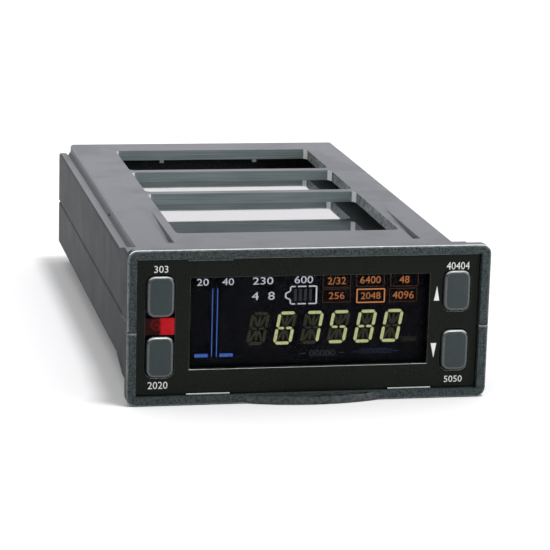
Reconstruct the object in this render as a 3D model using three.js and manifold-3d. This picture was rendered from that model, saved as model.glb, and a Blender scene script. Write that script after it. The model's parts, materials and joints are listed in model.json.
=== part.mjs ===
// Plug-in wireless receiver module for a portable loudspeaker: two case shells with a
// split bezel, a front panel with a segment display and four push buttons, and the
// boards, shields and sockets inside. Millimetres, +Z up, the bezel faces -Y.

import * as THREE from 'three';
import { mergeVertices } from 'three/addons/utils/BufferGeometryUtils.js';
import Module from 'manifold-3d';

const wasm = await Module();
wasm.setup();

// ---------------------------------------------------------------- driving dimensions
// Every shape is drawn about the middle of the bezel's face: x to the right, y from the
// face towards the rear, z up. The group at the end moves it all to the origin.

const BEZEL_WIDTH = 100;
const BEZEL_HEIGHT = 43;
const BEZEL_THICKNESS = 3.9;
const BEZEL_CORNER = 2.6;
const CASE_LENGTH = 175;
const LIP_REACH = 3;

const WALL = 2.2;
const PLATE_THICKNESS = 3.2;
const PLATE_HALF_WIDTH = 44.6;
const PLATE_Z = 18;
const RAIL_HALF_WIDTH = 48.2;
const RAIL_Z = 15.2;
const GROOVE = { width: 0.9, depth: 0.5, ridge: 0.4, rise: 0.15 };
const PARTING_Z = -1.1;
const PARTING_GAP = 0.2;
const PARTING_CHAMFER = 0.5;

const COLLAR_HALF_WIDTH = 48.5;
const COLLAR_END = 20;
const RAMP_END = 32;

const PANEL_HALF_WIDTH = 47.1;
const PANEL_HALF_HEIGHT = 18.7;
const PANEL_FRONT = 1.4;
const PANEL_BACK = 3.1;
const PANEL_FIT = 0.3;
const TAB_REACH = 0.6;

const DISPLAY = { x0: -32.8, x1: 33.3, z0: -11.9, z1: 13.5 };

const BUTTON_X = 40.9;
const BUTTON_UPPER_Z = 8.6;
const BUTTON_LOWER_Z = -8.1;
const BUTTON_WIDTH = 7.4;
const BUTTON_HEIGHT = 11.2;
const BUTTON_CORNER = 2.2;
const BUTTON_FRONT = 0.1;
const BUTTON_FIT = 0.35;
const BUTTON_FLANGE = { front: 3.4, back: 4.5, halfWidth: 4.4, halfHeight: 6.5 };

const CONTROL_BOARD = { front: 12, back: 13.6, halfWidth: 45, halfHeight: 15 };
const MAIN_BOARD = { bottom: -3.8, top: -2.2, halfWidth: 43.6, front: 16, rear: 169.5 };
const TONGUE = { halfWidth: 16.5, root: 160, end: 173.8, slotHalfWidth: 22 };
const SHIELD = {
  halfWidth: 41, front: 33, rear: 158, wall: 0.8, top: 11, lidTop: 11.7, sheet: 0.5, skirt: 3,
};
const BOTTOM_SHIELD_Z = -11.5;

const SCREW_X = 39.5;
const SCREW_FRONT_Y = 27;
const SCREW_REAR_Y = 165;
const SCREW_SEAT_Z = -9;
const SCREW_TIP_Z = 7.5;
const SCREW_SHANK_RADIUS = 1.3;
const SCREW_HEAD_RADIUS = 2.6;
const SCREW_HEAD_HEIGHT = 2;
const UPPER_BOSS_RADIUS = 3.4;
const LOWER_BOSS_RADIUS = 4.3;
const PILOT = { radius: 1.45, top: 8.5 };
const SCREW_WELL_RADIUS = 3;
const SCREW_CLEARANCE_RADIUS = 1.6;
const BOARD_HOLE_RADIUS = 1.7;
const SMALL_HOLE_STEPS = 12;

const ANTENNA_X = 30;
const ANTENNA_Z = 1.2;
const ANTENNA_HOLE_RADIUS = 3.5;
const CONTACT_OPENING = { halfWidth: 20.9, z0: -7.6, z1: 1.6 };
const SOCKET_SETBACK = 0.4;

const TOUCH = 0.1;
const OVERLAP = 1;
const ARC_STEPS = 5;
const ROUND_STEPS = 20;

// windows in the top plate: front to rear, parted by two narrow bars
const WINDOW_X = [-31.1, 33.3];
const WINDOWS_Y = [[36.3, 91.5], [95, 125.7], [129.3, 162.6]];
const WINDOW_CORNER = 1.9;
const RAMP_SLOT = { x: [-34.7, 35.3], front: 24.5, rear: 66, depth: 2.1, halfWidth: 1.1 };
const RIDGE_GAP = { halfWidth: 0.25, y0: 74, y1: 75.6 };
const PLATE_CORNER_CUT = 1.2;
const LID_STOP = { x: [-15.6, 15.6], halfWidth: 0.7, y0: 162.4, y1: 164, bottom: 13.8 };
const EDGE_ROUND = 0.5;

// tabs over the edges of the front panel, from x0 to x1
const UPPER_TABS = [[-33.8, -21.6]];
const LOWER_TABS = [[-33.6, -21.7], [22.3, 34.3]];
const TAB = { front: 0.3, gap: 0.2 };

const FINGER_LIP = { centre: 1.5, halfChord: 18.5, height: 2.3, root: 1.5, bevel: 0.4, steps: 12 };
const BOARD_RIB = { reach: 0.7, thickness: 1, height: 12 };

const CORNERS = [
  { name: 'upper_left', x: -BUTTON_X, z: BUTTON_UPPER_Z },
  { name: 'lower_left', x: -BUTTON_X, z: BUTTON_LOWER_Z },
  { name: 'upper_right', x: BUTTON_X, z: BUTTON_UPPER_Z },
  { name: 'lower_right', x: BUTTON_X, z: BUTTON_LOWER_Z },
];

const SCREWS = [
  { name: 'front_left', x: -SCREW_X, y: SCREW_FRONT_Y },
  { name: 'front_right', x: SCREW_X, y: SCREW_FRONT_Y },
  { name: 'rear_left', x: -SCREW_X, y: SCREW_REAR_Y },
  { name: 'rear_right', x: SCREW_X, y: SCREW_REAR_Y },
];

// ---------------------------------------------------------------- finishes

const CASE_PLASTIC = { color: 0x74777b, roughness: 0.72, metalness: 0 };
const PANEL_PLASTIC = { color: 0x161815, roughness: 0.28, metalness: 0 };
const DISPLAY_CLEAR = { color: 0x101216, roughness: 0.08, metalness: 0 };
const BUTTON_RUBBER = { color: 0x444c4e, roughness: 0.55, metalness: 0 };
const INFRARED_RED = { color: 0xb0141f, roughness: 0.18, metalness: 0 };
const BLACK_PLASTIC = { color: 0x1a1b1c, roughness: 0.6, metalness: 0 };
const WHITE_PLASTIC = { color: 0xdcdcd6, roughness: 0.5, metalness: 0 };
const BOARD_GREEN = { color: 0x1f5a36, roughness: 0.45, metalness: 0 };
const TINPLATE = { color: 0xd4d4d6, roughness: 0.12, metalness: 1 };
const ALUMINIUM = { color: 0xb9bcbf, roughness: 0.35, metalness: 1 };
const STEEL = { color: 0x8f9296, roughness: 0.35, metalness: 1 };
const GOLD = { color: 0xd0a048, roughness: 0.3, metalness: 1 };

// ---------------------------------------------------------------- shape helpers

function box(x0, x1, y0, y1, z0, z1) {
  const geometry = new THREE.BoxGeometry(x1 - x0, y1 - y0, z1 - z0);
  return geometry.translate((x0 + x1) / 2, (y0 + y1) / 2, (z0 + z1) / 2);
}

function polygon(points) {
  return new THREE.Shape(points.map(([u, v]) => new THREE.Vector2(u, v)));
}

function roundedRect(u, v, halfU, halfV, radius) {
  const shape = new THREE.Shape();
  shape.absarc(u + halfU - radius, v + halfV - radius, radius, 0, Math.PI / 2);
  shape.absarc(u - halfU + radius, v + halfV - radius, radius, Math.PI / 2, Math.PI);
  shape.absarc(u - halfU + radius, v - halfV + radius, radius, Math.PI, 1.5 * Math.PI);
  shape.absarc(u + halfU - radius, v - halfV + radius, radius, 1.5 * Math.PI, 2 * Math.PI);
  return shape;
}

// a bevel stays inside the outline that was drawn
function extrude(shape, depth, bevel = 0, bevelSteps = 2) {
  return new THREE.ExtrudeGeometry(shape, {
    depth: depth - 2 * bevel,
    curveSegments: ARC_STEPS,
    bevelEnabled: bevel > 0,
    bevelThickness: bevel,
    bevelSize: bevel,
    bevelOffset: -bevel,
    bevelSegments: bevelSteps,
  }).translate(0, 0, bevel);
}

// a shape drawn in x and z, pushed from y0 to y1
function alongY(shape, y0, y1, bevel = 0, bevelSteps = 2) {
  return extrude(shape, y1 - y0, bevel, bevelSteps).rotateX(Math.PI / 2).translate(0, y1, 0);
}

// a shape drawn in x and y, pushed from z0 to z1
function alongZ(shape, z0, z1, bevel = 0, bevelSteps = 2) {
  return extrude(shape, z1 - z0, bevel, bevelSteps).translate(0, 0, z0);
}

// a shape drawn in y and z, pushed from x0 to x1
function alongX(shape, x0, x1) {
  const turn = new THREE.Matrix4().makeBasis(
    new THREE.Vector3(0, 1, 0),
    new THREE.Vector3(0, 0, 1),
    new THREE.Vector3(1, 0, 0),
  );
  return extrude(shape, x1 - x0).applyMatrix4(turn).translate(x0, 0, 0);
}

function cylinderY(x, z, radius, y0, y1, steps = ROUND_STEPS) {
  const geometry = new THREE.CylinderGeometry(radius, radius, y1 - y0, steps);
  return geometry.translate(x, (y0 + y1) / 2, z);
}

function cylinderZ(x, y, radius, z0, z1, steps = ROUND_STEPS) {
  const geometry = new THREE.CylinderGeometry(radius, radius, z1 - z0, steps);
  return geometry.rotateX(Math.PI / 2).translate(x, y, (z0 + z1) / 2);
}

function solid(geometry) {
  const bare = geometry.clone();
  bare.deleteAttribute('normal');
  bare.deleteAttribute('uv');
  const merged = mergeVertices(bare, 1e-4);
  return new wasm.Manifold(new wasm.Mesh({
    numProp: 3,
    vertProperties: new Float32Array(merged.attributes.position.array),
    triVerts: new Uint32Array(merged.index.array),
  }));
}

function join(...geometries) {
  return geometries.map(solid).reduce((total, next) => total.add(next));
}

function cut(body, ...geometries) {
  return geometries.map(solid).reduce((left, next) => left.subtract(next), body);
}

function toGeometry(body) {
  const mesh = body.getMesh();
  const geometry = new THREE.BufferGeometry();
  geometry.setAttribute('position', new THREE.BufferAttribute(mesh.vertProperties, 3));
  geometry.setIndex(new THREE.BufferAttribute(mesh.triVerts, 1));
  geometry.computeVertexNormals();
  return geometry;
}

// ---------------------------------------------------------------- the module

const receiver = new THREE.Group();
const pieces = new THREE.Group();
pieces.position.set(0, (LIP_REACH - CASE_LENGTH) / 2, BEZEL_HEIGHT / 2);
receiver.add(pieces);

function addPiece(name, shape, finish) {
  const geometry = shape.isBufferGeometry ? shape : toGeometry(shape);
  const mesh = new THREE.Mesh(geometry, new THREE.MeshStandardMaterial(finish));
  mesh.name = name;
  pieces.add(mesh);
}

// ---------------------------------------------------------------- case shells
// Both shells share one section; side is 1 for the upper shell and -1 for the lower one.

function partingEdge(side) {
  return PARTING_Z + side * PARTING_GAP / 2;
}

function mirrored(half) {
  const other = half.map(([x, z]) => [-x, z]).reverse();
  return polygon([...half, ...other]);
}

// outside of the long case: a rail, then a fine groove and ridge at the raised plate's foot
function caseSection(side) {
  const edge = partingEdge(side);
  const round = EDGE_ROUND;
  const grooveOuter = PLATE_HALF_WIDTH + GROOVE.width + GROOVE.ridge;
  const ridgeOuter = PLATE_HALF_WIDTH + GROOVE.ridge;
  return mirrored([
    [RAIL_HALF_WIDTH - PARTING_CHAMFER, edge],
    [RAIL_HALF_WIDTH, edge + side * PARTING_CHAMFER],
    [RAIL_HALF_WIDTH, side * (RAIL_Z - round)],
    [RAIL_HALF_WIDTH - round, side * RAIL_Z],
    [grooveOuter, side * RAIL_Z],
    [grooveOuter, side * (RAIL_Z - GROOVE.depth)],
    [ridgeOuter, side * (RAIL_Z - GROOVE.depth)],
    [ridgeOuter, side * (RAIL_Z + GROOVE.rise)],
    [PLATE_HALF_WIDTH, side * (RAIL_Z + GROOVE.rise)],
    [PLATE_HALF_WIDTH, side * (PLATE_Z - round)],
    [PLATE_HALF_WIDTH - round, side * PLATE_Z],
  ]);
}

function cavitySection(side) {
  const underRail = RAIL_Z - WALL - GROOVE.depth;
  const shoulder = PLATE_HALF_WIDTH - WALL;
  return mirrored([
    [RAIL_HALF_WIDTH - WALL, PARTING_Z - side * OVERLAP],
    [RAIL_HALF_WIDTH - WALL, side * underRail],
    [shoulder, side * underRail],
    [shoulder, side * (PLATE_Z - PLATE_THICKNESS)],
  ]);
}

// the wider block behind the bezel, and the bezel's own half
function halfBlock(side, halfWidth, height, radius) {
  const edge = partingEdge(side);
  const arc = [];
  for (let step = 0; step <= ARC_STEPS; step += 1) {
    const angle = (step / ARC_STEPS) * Math.PI / 2;
    arc.push([
      halfWidth - radius + radius * Math.cos(angle),
      side * (height - radius + radius * Math.sin(angle)),
    ]);
  }
  return mirrored([[halfWidth, edge], ...arc]);
}

// the rails rise to the collar over a short ramp
function railRamp(side, hand) {
  const profile = polygon([
    [COLLAR_END - OVERLAP, side * (RAIL_Z - WALL)],
    [RAMP_END, side * (RAIL_Z - WALL)],
    [RAMP_END, side * RAIL_Z],
    [COLLAR_END, side * PLATE_Z],
    [COLLAR_END - OVERLAP, side * PLATE_Z],
  ]);
  const inner = PLATE_HALF_WIDTH - OVERLAP;
  return hand > 0
    ? alongX(profile, inner, RAIL_HALF_WIDTH)
    : alongX(profile, -RAIL_HALF_WIDTH, -inner);
}

// ribs that hold the control board's side edges
function boardRibs(side, hand) {
  const { reach, thickness, height } = BOARD_RIB;
  const inner = CONTROL_BOARD.halfWidth - reach;
  const outer = COLLAR_HALF_WIDTH - WALL + 2 * TOUCH;
  const low = Math.min(partingEdge(side), side * height);
  const high = Math.max(partingEdge(side), side * height);
  const x0 = hand > 0 ? inner : -outer;
  const x1 = hand > 0 ? outer : -inner;
  const front = CONTROL_BOARD.front - TOUCH;
  const back = CONTROL_BOARD.back + TOUCH;
  return [
    box(x0, x1, front - thickness, front, low, high),
    box(x0, x1, back, back + thickness, low, high),
  ];
}

// a tab over the edge of the front panel
function panelTab(side, x0, x1) {
  const inner = side * (PANEL_HALF_HEIGHT + PANEL_FIT - TAB_REACH);
  const outer = side * (PANEL_HALF_HEIGHT + PANEL_FIT + OVERLAP / 2);
  const back = PANEL_FRONT - TAB.gap;
  return box(x0, x1, TAB.front, back, Math.min(inner, outer), Math.max(inner, outer));
}

function shellBlank(side) {
  const collar = halfBlock(side, COLLAR_HALF_WIDTH, PLATE_Z, 0.8);
  const bezel = halfBlock(side, BEZEL_WIDTH / 2, BEZEL_HEIGHT / 2, BEZEL_CORNER);
  const body = join(
    alongY(caseSection(side), BEZEL_THICKNESS - OVERLAP, CASE_LENGTH),
    alongY(collar, BEZEL_THICKNESS - OVERLAP, COLLAR_END),
    alongY(bezel, 0, BEZEL_THICKNESS, EDGE_ROUND),
    railRamp(side, 1),
    railRamp(side, -1),
  );
  const seat = PANEL_HALF_HEIGHT + PANEL_FIT;
  const seatWidth = PANEL_HALF_WIDTH + PANEL_FIT;
  const low = side > 0 ? PARTING_Z - OVERLAP : -seat;
  const high = side > 0 ? seat : PARTING_Z + OVERLAP;
  const inside = PLATE_Z - WALL;
  const rearWall = CASE_LENGTH - 2 * WALL;
  const outside = CASE_LENGTH + OVERLAP;
  return cut(
    body,
    alongY(cavitySection(side), COLLAR_END - OVERLAP, CASE_LENGTH - WALL),
    box(
      -COLLAR_HALF_WIDTH + WALL, COLLAR_HALF_WIDTH - WALL, -OVERLAP, COLLAR_END,
      side > 0 ? PARTING_Z - OVERLAP : -inside, side > 0 ? inside : PARTING_Z + OVERLAP,
    ),
    box(-seatWidth, seatWidth, -OVERLAP, PANEL_BACK + TOUCH, low, high),
    // the rear opening for the contact tongue, and the two antenna sockets
    box(
      -CONTACT_OPENING.halfWidth, CONTACT_OPENING.halfWidth, rearWall, outside,
      CONTACT_OPENING.z0, CONTACT_OPENING.z1,
    ),
    cylinderY(-ANTENNA_X, ANTENNA_Z, ANTENNA_HOLE_RADIUS, rearWall, outside),
    cylinderY(ANTENNA_X, ANTENNA_Z, ANTENNA_HOLE_RADIUS, rearWall, outside),
  );
}

function upperShell() {
  const underPlate = PLATE_Z - WALL + 2 * TOUCH;
  const tabs = UPPER_TABS.map(([x0, x1]) => panelTab(1, x0, x1));
  const ribs = [...boardRibs(1, 1), ...boardRibs(1, -1)];
  const bosses = SCREWS.map(({ x, y }) => (
    cylinderZ(x, y, UPPER_BOSS_RADIUS, MAIN_BOARD.top + TOUCH, underPlate)
  ));
  const stops = LID_STOP.x.map((x) => box(
    x - LID_STOP.halfWidth, x + LID_STOP.halfWidth, LID_STOP.y0, LID_STOP.y1,
    LID_STOP.bottom, underPlate,
  ));
  const shell = [tabs, ribs, bosses, stops]
    .reduce((total, group) => total.add(join(...group)), shellBlank(1));

  const middle = (WINDOW_X[0] + WINDOW_X[1]) / 2;
  const halfSpan = (WINDOW_X[1] - WINDOW_X[0]) / 2;
  const windows = WINDOWS_Y.map(([y0, y1]) => alongZ(
    roundedRect(middle, (y0 + y1) / 2, halfSpan, (y1 - y0) / 2, WINDOW_CORNER),
    PLATE_Z - PLATE_THICKNESS - OVERLAP,
    PLATE_Z + OVERLAP,
  ));
  const pilots = SCREWS.map(({ x, y }) => (
    cylinderZ(x, y, PILOT.radius, MAIN_BOARD.top - OVERLAP, PILOT.top, SMALL_HOLE_STEPS)
  ));
  // slots whose floors ramp down towards the bezel
  const { front, rear, depth, halfWidth } = RAMP_SLOT;
  const wedge = polygon([
    [front, PLATE_Z - depth], [rear, PLATE_Z], [rear, PLATE_Z + OVERLAP], [front, PLATE_Z + OVERLAP],
  ]);
  const slots = RAMP_SLOT.x.map((x) => alongX(wedge, x - halfWidth, x + halfWidth));
  // a small gap in the fine ridge beside each rail
  const ridge = PLATE_HALF_WIDTH + GROOVE.ridge / 2;
  const ridgeGaps = [-ridge, ridge].map((x) => box(
    x - RIDGE_GAP.halfWidth, x + RIDGE_GAP.halfWidth, RIDGE_GAP.y0, RIDGE_GAP.y1,
    RAIL_Z - GROOVE.depth, RAIL_Z + GROOVE.depth,
  ));
  // the plate's rear corners are cut off at a slant
  const corners = [-1, 1].map((hand) => alongZ(polygon([
    [hand * (PLATE_HALF_WIDTH - PLATE_CORNER_CUT), CASE_LENGTH + TOUCH],
    [hand * (PLATE_HALF_WIDTH + TOUCH), CASE_LENGTH + TOUCH],
    [hand * (PLATE_HALF_WIDTH + TOUCH), CASE_LENGTH - PLATE_CORNER_CUT],
  ]), RAIL_Z + GROOVE.depth, PLATE_Z + OVERLAP));
  return cut(shell, ...windows, ...pilots, ...slots, ...ridgeGaps, ...corners);
}

// the lip bows forward from the bezel's lower edge
function fingerLip() {
  const { centre, halfChord, height, root, bevel, steps } = FINGER_LIP;
  const radius = (halfChord ** 2 + LIP_REACH ** 2) / (2 * LIP_REACH);
  const half = Math.asin(halfChord / radius);
  const points = [[centre + halfChord, root], [centre - halfChord, root]];
  for (let step = 0; step <= steps; step += 1) {
    const angle = -half + (2 * half * step) / steps;
    points.push([
      centre + radius * Math.sin(angle),
      radius - LIP_REACH - radius * Math.cos(angle),
    ]);
  }
  return alongZ(polygon(points), -BEZEL_HEIGHT / 2, -BEZEL_HEIGHT / 2 + height, bevel);
}

function lowerShell() {
  const insideFloor = -PLATE_Z + WALL - 2 * TOUCH;
  const tabs = LOWER_TABS.map(([x0, x1]) => panelTab(-1, x0, x1));
  const ribs = [...boardRibs(-1, 1), ...boardRibs(-1, -1)];
  const bosses = SCREWS.map(({ x, y }) => (
    cylinderZ(x, y, LOWER_BOSS_RADIUS, insideFloor, MAIN_BOARD.bottom - TOUCH)
  ));
  const shell = [[fingerLip()], tabs, ribs, bosses]
    .reduce((total, group) => total.add(join(...group)), shellBlank(-1));
  const wells = SCREWS.map(({ x, y }) => (
    cylinderZ(x, y, SCREW_WELL_RADIUS, -PLATE_Z - OVERLAP, SCREW_SEAT_Z)
  ));
  const holes = SCREWS.map(({ x, y }) => (
    cylinderZ(x, y, SCREW_CLEARANCE_RADIUS, SCREW_SEAT_Z - OVERLAP, 0, SMALL_HOLE_STEPS)
  ));
  return cut(shell, ...wells, ...holes);
}

addPiece('upper_shell', upperShell(), CASE_PLASTIC);
addPiece('lower_shell', lowerShell(), CASE_PLASTIC);

// a turned body about the z axis, from [radius, z] pairs that run from its top to its bottom
function turned(profile, steps = 16) {
  const points = profile.map(([radius, z]) => new THREE.Vector2(radius, z)).reverse();
  return new THREE.LatheGeometry(points, steps).rotateX(Math.PI / 2);
}

function caseScrew(x, y) {
  const shank = SCREW_SHANK_RADIUS;
  const head = SCREW_HEAD_RADIUS;
  const seat = SCREW_SEAT_Z - TOUCH;
  const end = SCREW_SEAT_Z - SCREW_HEAD_HEIGHT;
  const tip = 1;
  const dome = 0.7;
  return turned([
    [0, SCREW_TIP_Z], [shank / 2, SCREW_TIP_Z], [shank, SCREW_TIP_Z - tip], [shank, seat],
    [head, seat], [head, end + dome], [head - dome, end], [0, end],
  ]).translate(x, y, 0);
}

for (const { name, x, y } of SCREWS) {
  addPiece(`case_screw_${name}`, caseScrew(x, y), STEEL);
}

// ---------------------------------------------------------------- front panel and display

function buttonHole(x, z) {
  const halfWidth = BUTTON_WIDTH / 2 + BUTTON_FIT;
  const halfHeight = BUTTON_HEIGHT / 2 + BUTTON_FIT;
  const outline = roundedRect(x, z, halfWidth, halfHeight, BUTTON_CORNER + BUTTON_FIT);
  return alongY(outline, 0, PANEL_BACK + OVERLAP);
}

const INFRARED = {
  x0: -BUTTON_X - BUTTON_WIDTH / 2 - BUTTON_FIT,
  x1: -BUTTON_X + BUTTON_WIDTH / 2 + BUTTON_FIT,
  z0: BUTTON_LOWER_Z + BUTTON_HEIGHT / 2 + BUTTON_FIT,
  z1: BUTTON_UPPER_Z - BUTTON_HEIGHT / 2 - BUTTON_FIT,
};

function frontPanel() {
  const plate = alongY(
    roundedRect(0, 0, PANEL_HALF_WIDTH, PANEL_HALF_HEIGHT, 0.6),
    PANEL_FRONT,
    PANEL_BACK,
  );
  const corner = BUTTON_CORNER + BUTTON_FIT;
  return cut(
    solid(plate),
    box(DISPLAY.x0, DISPLAY.x1, 0, PANEL_BACK + OVERLAP, DISPLAY.z0, DISPLAY.z1),
    ...CORNERS.map(({ x, z }) => buttonHole(x, z)),
    box(
      INFRARED.x0, INFRARED.x1, 0, PANEL_BACK + OVERLAP,
      INFRARED.z0 - corner, INFRARED.z1 + corner,
    ),
  );
}

addPiece('front_panel', frontPanel(), PANEL_PLASTIC);

addPiece('infrared_window', box(
  INFRARED.x0 + TOUCH, INFRARED.x1 - TOUCH, PANEL_FRONT + 2 * TOUCH, PANEL_BACK,
  INFRARED.z0 + TOUCH, INFRARED.z1 - TOUCH,
), INFRARED_RED);

const WINDOW_BORDER = 2;
const WINDOW_SHEET = 1.1;

addPiece('display_window', box(
  DISPLAY.x0 - WINDOW_BORDER, DISPLAY.x1 + WINDOW_BORDER,
  PANEL_BACK + TOUCH, PANEL_BACK + TOUCH + WINDOW_SHEET,
  DISPLAY.z0 - WINDOW_BORDER, DISPLAY.z1 + WINDOW_BORDER,
), DISPLAY_CLEAR);

const HOLDER = { halfWidth: 35.6, z0: -14.4, z1: 15.3, front: 4.5, floor: 10.8, wall: 1.1 };
const GLASS = { front: 4.8, back: 7 };

addPiece('display_holder', cut(
  solid(box(
    -HOLDER.halfWidth, HOLDER.halfWidth, HOLDER.front, CONTROL_BOARD.front - TOUCH,
    HOLDER.z0, HOLDER.z1,
  )),
  box(
    -HOLDER.halfWidth + HOLDER.wall, HOLDER.halfWidth - HOLDER.wall, 0, HOLDER.floor,
    HOLDER.z0 + HOLDER.wall, HOLDER.z1 - HOLDER.wall,
  ),
), BLACK_PLASTIC);

function inHolder(front, back) {
  const gap = HOLDER.wall + 2 * TOUCH;
  return box(
    -HOLDER.halfWidth + gap, HOLDER.halfWidth - gap, front, back,
    HOLDER.z0 + gap, HOLDER.z1 - gap,
  );
}

addPiece('display_glass', inHolder(GLASS.front, GLASS.back), DISPLAY_CLEAR);
addPiece('display_backlight', inHolder(GLASS.back + TOUCH, HOLDER.floor - TOUCH), WHITE_PLASTIC);

// ---------------------------------------------------------------- buttons and switches

const SWITCH = { halfWidth: 3, front: 8.6, boreDepth: 1.7, boreRadius: 1.9 };
const PLUNGER = { radius: 1.7, front: 6, back: 9.3 };
const CAP = { bevel: 0.7, bevelSteps: 3, stemRadius: 1.5 };

function buttonCap(x, z) {
  const outline = roundedRect(x, z, BUTTON_WIDTH / 2, BUTTON_HEIGHT / 2, BUTTON_CORNER);
  const { front, back, halfWidth, halfHeight } = BUTTON_FLANGE;
  return join(
    alongY(outline, BUTTON_FRONT, back, CAP.bevel, CAP.bevelSteps),
    box(x - halfWidth, x + halfWidth, front, back, z - halfHeight, z + halfHeight),
    cylinderY(x, z, CAP.stemRadius, back - OVERLAP / 2, PLUNGER.front - TOUCH, SMALL_HOLE_STEPS),
  );
}

for (const { name, x, z } of CORNERS) {
  addPiece(`button_${name}`, buttonCap(x, z), BUTTON_RUBBER);
  addPiece(
    `switch_plunger_${name}`,
    cylinderY(x, z, PLUNGER.radius, PLUNGER.front, PLUNGER.back, 16),
    BLACK_PLASTIC,
  );
  const { halfWidth, front, boreDepth, boreRadius } = SWITCH;
  addPiece(`switch_body_${name}`, cut(
    solid(box(
      x - halfWidth, x + halfWidth, front, CONTROL_BOARD.front - TOUCH,
      z - halfWidth, z + halfWidth,
    )),
    cylinderY(x, z, boreRadius, front - OVERLAP, front + boreDepth, 16),
  ), BLACK_PLASTIC);
}

// ---------------------------------------------------------------- control board

const ON_CONTROL_FRONT = CONTROL_BOARD.front - TOUCH;
const ON_CONTROL_BACK = CONTROL_BOARD.back + TOUCH;
const ON_MAIN_TOP = MAIN_BOARD.top + TOUCH;
const UNDER_MAIN = MAIN_BOARD.bottom - TOUCH;

addPiece('control_board', box(
  -CONTROL_BOARD.halfWidth, CONTROL_BOARD.halfWidth, CONTROL_BOARD.front, CONTROL_BOARD.back,
  -CONTROL_BOARD.halfHeight, CONTROL_BOARD.halfHeight,
), BOARD_GREEN);

const INFRARED_Z = (INFRARED.z0 + INFRARED.z1) / 2;
const EMITTER = { x: -42.7, radius: 1.4, tip: 5.6, neck: 6.9 };
const DETECTOR = { x0: -41, x1: -37.6, front: 6.4, halfHeight: 1.5 };
const DRIVER = { x0: 18, x1: 30, z0: 2, z1: 12, height: 1.4 };

addPiece('infrared_emitter', turned([
  [0, -EMITTER.tip], [EMITTER.radius * 0.6, -EMITTER.tip - 0.3], [EMITTER.radius, -EMITTER.neck],
  [EMITTER.radius, -ON_CONTROL_FRONT], [0, -ON_CONTROL_FRONT],
]).rotateX(Math.PI / 2).translate(EMITTER.x, 0, INFRARED_Z), INFRARED_RED);
addPiece('infrared_receiver', box(
  DETECTOR.x0, DETECTOR.x1, DETECTOR.front, ON_CONTROL_FRONT,
  INFRARED_Z - DETECTOR.halfHeight, INFRARED_Z + DETECTOR.halfHeight,
), BLACK_PLASTIC);
addPiece('display_driver', box(
  DRIVER.x0, DRIVER.x1, ON_CONTROL_BACK, ON_CONTROL_BACK + DRIVER.height, DRIVER.z0, DRIVER.z1,
), BLACK_PLASTIC);

// the socket on the control board takes the header's tongue
const LINK = {
  socket: { halfWidth: 13, end: 19, z0: 0.2, z1: 5.4, wall: 1, lip: 1.2, floor: 15 },
  header: { halfWidth: 14, front: 19.2, end: 26, top: 5.6 },
  tongue: { halfWidth: 11.5, front: 15.6, z0: 1.9, z1: 3.7 },
};

function linkSocket() {
  const { halfWidth, end, z0, z1, wall, lip, floor } = LINK.socket;
  const inner = halfWidth - wall;
  return cut(
    solid(box(-halfWidth, halfWidth, ON_CONTROL_BACK, end, z0, z1)),
    box(-inner, inner, floor, end + OVERLAP, z0 + lip, z1 - lip),
  );
}

function linkHeader() {
  const { header, tongue } = LINK;
  return join(
    box(-header.halfWidth, header.halfWidth, header.front, header.end, ON_MAIN_TOP, header.top),
    box(
      -tongue.halfWidth, tongue.halfWidth, tongue.front, header.front + OVERLAP,
      tongue.z0, tongue.z1,
    ),
  );
}

addPiece('link_socket', linkSocket(), BLACK_PLASTIC);
addPiece('link_header', linkHeader(), BLACK_PLASTIC);

// ---------------------------------------------------------------- main board

function mainBoard() {
  const { halfWidth, front, rear } = MAIN_BOARD;
  const outline = mirrored([
    [halfWidth, front],
    [halfWidth, rear],
    [TONGUE.slotHalfWidth, rear],
    [TONGUE.slotHalfWidth, TONGUE.root],
    [TONGUE.halfWidth, TONGUE.root],
    [TONGUE.halfWidth, TONGUE.end],
  ]);
  return cut(
    solid(alongZ(outline, MAIN_BOARD.bottom, MAIN_BOARD.top)),
    ...SCREWS.map(({ x, y }) => cylinderZ(
      x, y, BOARD_HOLE_RADIUS, MAIN_BOARD.bottom - OVERLAP, MAIN_BOARD.top + OVERLAP,
      SMALL_HOLE_STEPS,
    )),
  );
}

addPiece('main_board', mainBoard(), BOARD_GREEN);

// a chip that lies on the main board: its middle, its size along x and y, and its height
function onBoard(x, y, width, length, height) {
  return box(
    x - width / 2, x + width / 2, y - length / 2, y + length / 2,
    ON_MAIN_TOP, ON_MAIN_TOP + height,
  );
}

const REGULATOR = { halfWidth: 5, y0: 18, y1: 28, height: 2.3 };
const CAN = { radius: 3, neck: 2.7, crimp: [5.9, 6.2, 6.5], shoulder: 0.3, height: 7.7, y: 24 };

addPiece('processor', onBoard(25, CAN.y, 12, 12, 1.5), BLACK_PLASTIC);
addPiece('voltage_regulator', box(
  -REGULATOR.halfWidth, REGULATOR.halfWidth, REGULATOR.y0, REGULATOR.y1,
  UNDER_MAIN - REGULATOR.height, UNDER_MAIN,
), BLACK_PLASTIC);

[-21.5, -30].forEach((x, index) => {
  const { radius, neck, crimp, shoulder, height, y } = CAN;
  const can = turned([
    [0, height], [neck, height], [radius, height - shoulder], [radius, height - crimp[0]],
    [neck, height - crimp[1]], [radius, height - crimp[2]], [radius, 0], [0, 0],
  ]);
  addPiece(`capacitor_${index + 1}`, can.translate(x, y, ON_MAIN_TOP), ALUMINIUM);
});

// ---------------------------------------------------------------- shields and tuner parts

// four walls and a dividing wall between the two tuners
function shieldFrame() {
  const { halfWidth, front, rear, wall, top } = SHIELD;
  const bays = [[-halfWidth + wall, -wall / 2], [wall / 2, halfWidth - wall]];
  return cut(
    solid(box(-halfWidth, halfWidth, front, rear, ON_MAIN_TOP, top)),
    ...bays.map(([x0, x1]) => box(
      x0, x1, front + wall, rear - wall, ON_MAIN_TOP - OVERLAP, top + OVERLAP,
    )),
  );
}

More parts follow.
